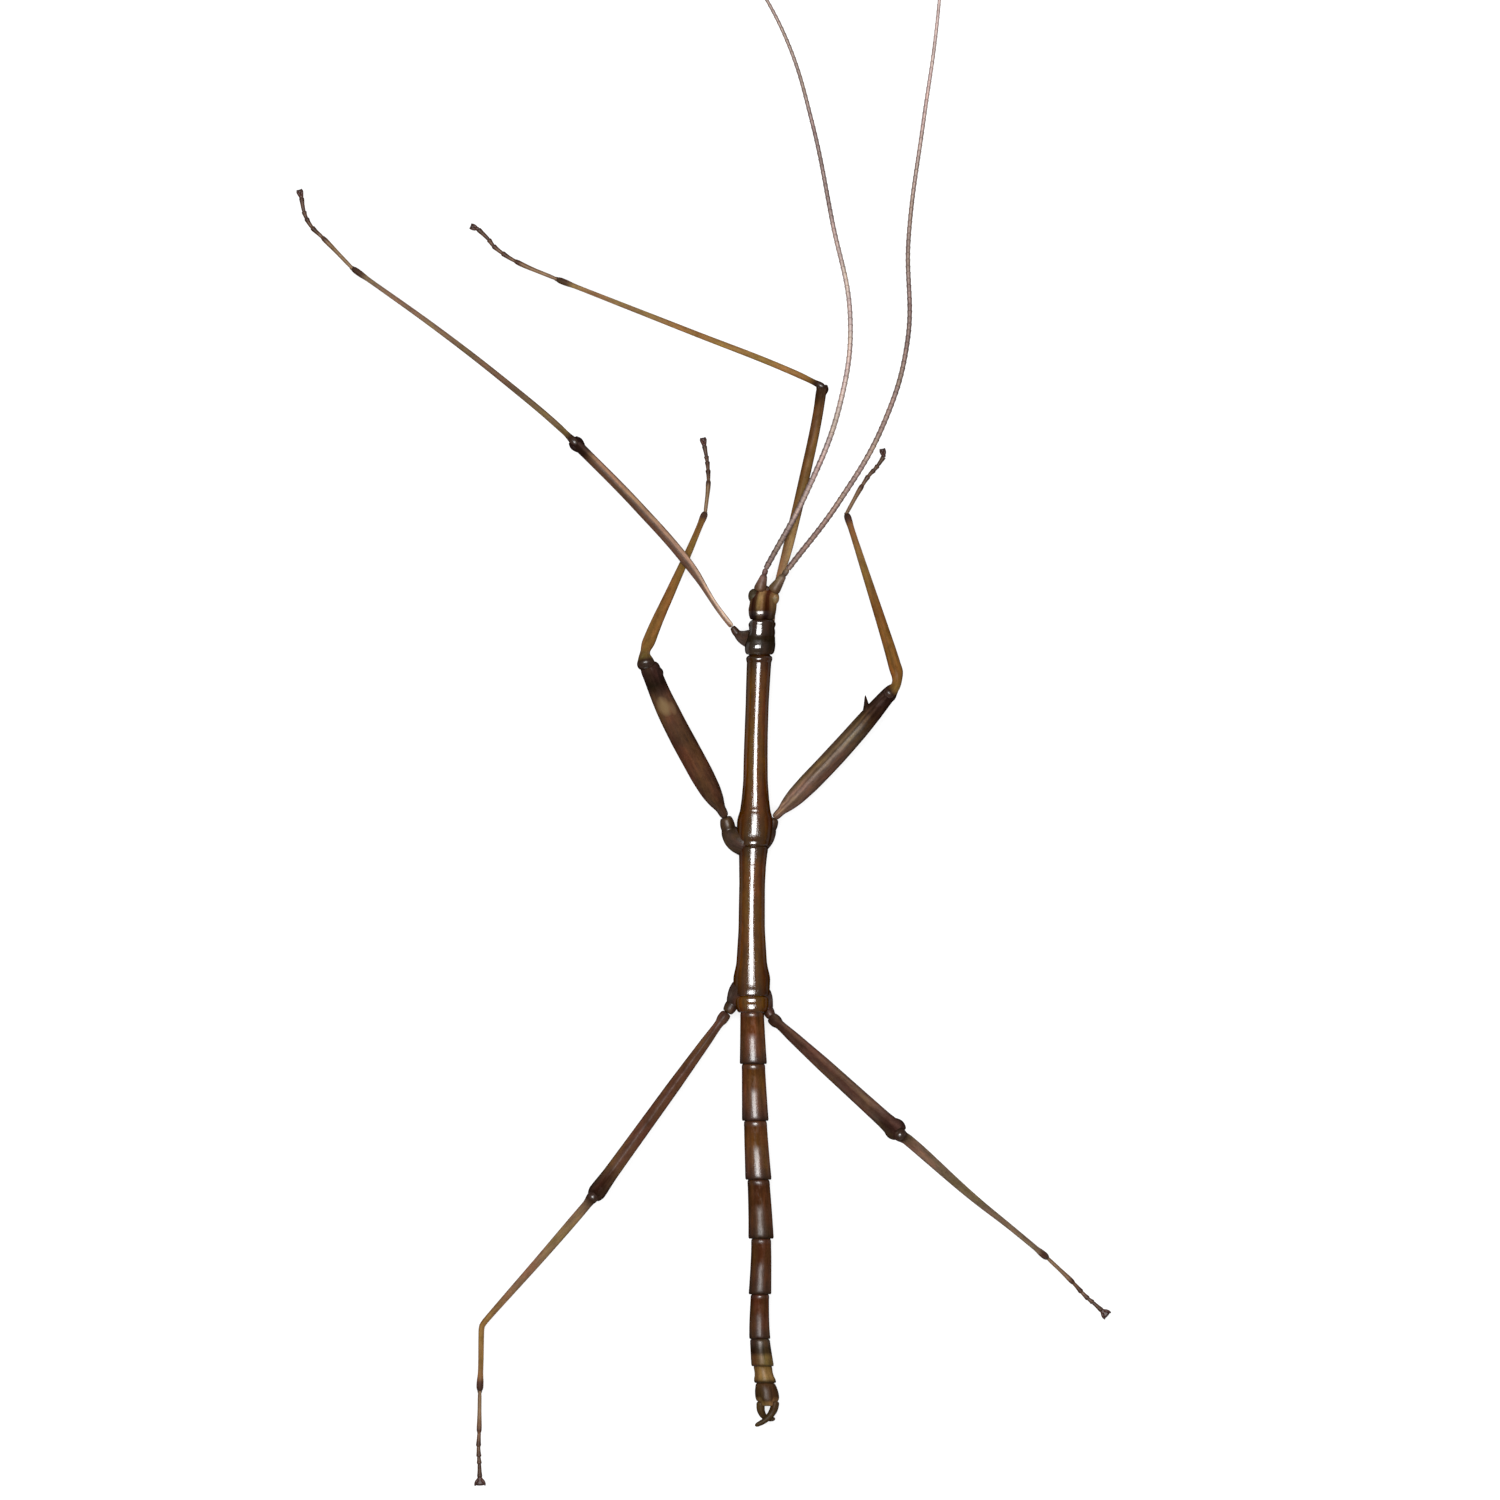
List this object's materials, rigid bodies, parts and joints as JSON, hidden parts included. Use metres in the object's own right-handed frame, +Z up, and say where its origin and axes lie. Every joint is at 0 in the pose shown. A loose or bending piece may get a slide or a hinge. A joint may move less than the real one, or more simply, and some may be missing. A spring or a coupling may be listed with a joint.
{
  "type": "stick insect model",
  "caption": "Life-size model of a slender male stick insect standing on spread legs, with long curved feelers reaching forward.",
  "frame": {"origin": "on the floor, under the middle of the whole outline, feelers and feet included", "axes": "+Z up, +Y towards the head, +X towards the insect's right side"},
  "size_m": [0.0736, 0.1384, 0.0155],
  "materials": {
    "head_shell": "glossy brown-olive chitin with darker bands",
    "eye": "smooth shiny compound eye, olive to brown",
    "dark_shell": "glossy very dark brown chitin",
    "feeler": "matt pinkish grey-brown, finely ringed",
    "hip_shell": "glossy near-black brown chitin",
    "thorax_shell": "glossy dark brown chitin with olive-gold streaks",
    "abdomen_shell": "glossy brown chitin with olive-gold streaks",
    "fore_femur": "satin grey-brown chitin",
    "mid_femur": "satin dark brown chitin with a tan band near the knee",
    "hind_femur": "satin brown chitin, nearly black at the knee",
    "tibia": "satin golden-brown to grey-brown chitin",
    "tarsus": "satin brown chitin, banded dark at the joints"
  },
  "bodies": {
    "root": {"abdomen_1": "abdomen_shell", "abdomen_10": "abdomen_shell", "abdomen_2": "abdomen_shell", "abdomen_3": "abdomen_shell", "abdomen_4": "abdomen_shell", "abdomen_5": "abdomen_shell", "abdomen_6": "abdomen_shell", "abdomen_7": "abdomen_shell", "abdomen_8": "abdomen_shell", "abdomen_9": "abdomen_shell", "antenna_left_1": "feeler", "antenna_left_2": "feeler", "antenna_left_3": "feeler", "antenna_left_scape": "feeler", "antenna_right_1": "feeler", "antenna_right_2": "feeler", "antenna_right_3": "feeler", "antenna_right_scape": "feeler", "cercus_left": "dark_shell", "cercus_right": "dark_shell", "coxa_fore_left": "hip_shell", "coxa_fore_right": "hip_shell", "coxa_hind_left": "hip_shell", "coxa_hind_right": "hip_shell", "coxa_mid_left": "hip_shell", "coxa_mid_right": "hip_shell", "eye_left": "eye", "eye_right": "eye", "femur_fore_left": "fore_femur", "femur_fore_right": "fore_femur", "femur_hind_left": "hind_femur", "femur_hind_right": "hind_femur", "femur_mid_left": "mid_femur", "femur_mid_right": "mid_femur", "foot_fore_left": "dark_shell", "foot_fore_right": "dark_shell", "foot_hind_left": "dark_shell", "foot_hind_right": "dark_shell", "foot_mid_left": "dark_shell", "foot_mid_right": "dark_shell", "head": "head_shell", "mesothorax": "thorax_shell", "metathorax": "thorax_shell", "mouthparts": "dark_shell", "poculum": "abdomen_shell", "prothorax": "thorax_shell", "tarsus_fore_left": "tarsus", "tarsus_fore_right": "tarsus", "tarsus_hind_left": "tarsus", "tarsus_hind_right": "tarsus", "tarsus_mid_left": "tarsus", "tarsus_mid_right": "tarsus", "tibia_fore_left": "tibia", "tibia_fore_right": "tibia", "tibia_hind_left": "tibia", "tibia_hind_right": "tibia", "tibia_mid_left": "tibia", "tibia_mid_right": "tibia"}
  },
  "joints": []
}
